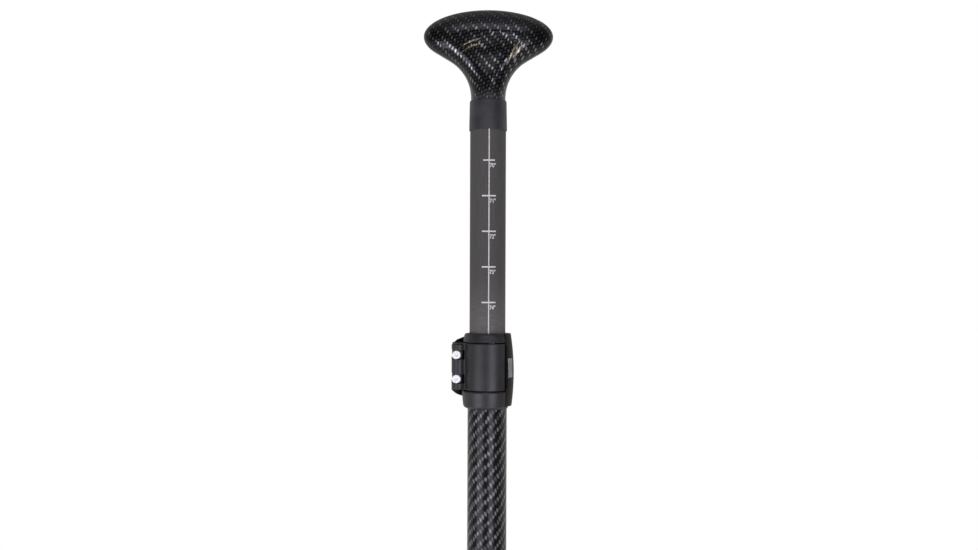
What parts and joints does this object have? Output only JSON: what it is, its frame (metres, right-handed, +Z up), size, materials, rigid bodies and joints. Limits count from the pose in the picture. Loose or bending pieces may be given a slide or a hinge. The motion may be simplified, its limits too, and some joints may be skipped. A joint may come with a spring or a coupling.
{
  "type": "adjustable single blade paddle",
  "caption": "Adjustable single-blade paddle: palm-grip handle on a sliding, scaled inner tube, lever clamp lock, round carbon shaft and raked teardrop blade.",
  "frame": {"origin": "on the shaft axis at the lower rim of the lock, where a clip or hook takes the bare 28.4 mm shaft", "axes": "+Z up along the shaft to the handle, -Y the side with the length scale, +X to the right seen from that side"},
  "size_m": [0.2004, 0.0962, 1.9021],
  "materials": {
    "gloss_carbon": "clear-coated twill carbon",
    "matte_carbon": "matte carbon tube",
    "black_nylon": "satin black",
    "lever_nylon": "satin brownish black",
    "grey_pad": "matte grey",
    "polished_steel": "polished",
    "steel": "turned",
    "sleeve_rubber": "matte shrink sleeve",
    "foam": "closed-cell foam",
    "plug_plastic": "moulded",
    "acetal": "low-friction plastic",
    "rail_plastic": "satin black rail"
  },
  "bodies": {
    "shaft": {"lower_shaft": "gloss_carbon", "shaft_plug": "foam", "top_guide_ring": "black_nylon", "lower_collar": "black_nylon", "clamp_band": "black_nylon", "clamp_bolts": "polished_steel", "bolt_washers": "steel", "barrel_nut": "steel", "cam_shoe": "acetal", "blade_front_skin": "gloss_carbon", "blade_back_skin": "gloss_carbon", "blade_foam_core": "foam", "blade_tenon": "matte_carbon", "blade_edge_rail": "rail_plastic"},
    "lever": {"cam_lever": "lever_nylon", "lever_pad": "grey_pad"},
    "guide": {"glide_ring": "acetal"},
    "extension": {"extension_tube": "matte_carbon", "tube_end_plug": "plug_plastic", "handle_sleeve": "sleeve_rubber", "handle_spigot": "plug_plastic", "handle_front_shell": "gloss_carbon", "handle_back_shell": "gloss_carbon", "handle_foam_core": "foam"}
  },
  "joints": [
    {"name": "length_slide", "type": "slide", "parent": "shaft", "child": "guide", "axis": [0, 0, 1], "range_m": [-0.144, 0.283]},
    {"name": "handle_turn", "type": "hinge", "parent": "guide", "child": "extension", "pos_m": [0, 0, 0], "axis": [0, 0, 1], "continuous": true},
    {"name": "lever_swing", "type": "hinge", "parent": "shaft", "child": "lever", "pos_m": [-0.0222, 0.014, 0], "axis": [0, 0, 1], "range_deg": [0, 115]}
  ]
}
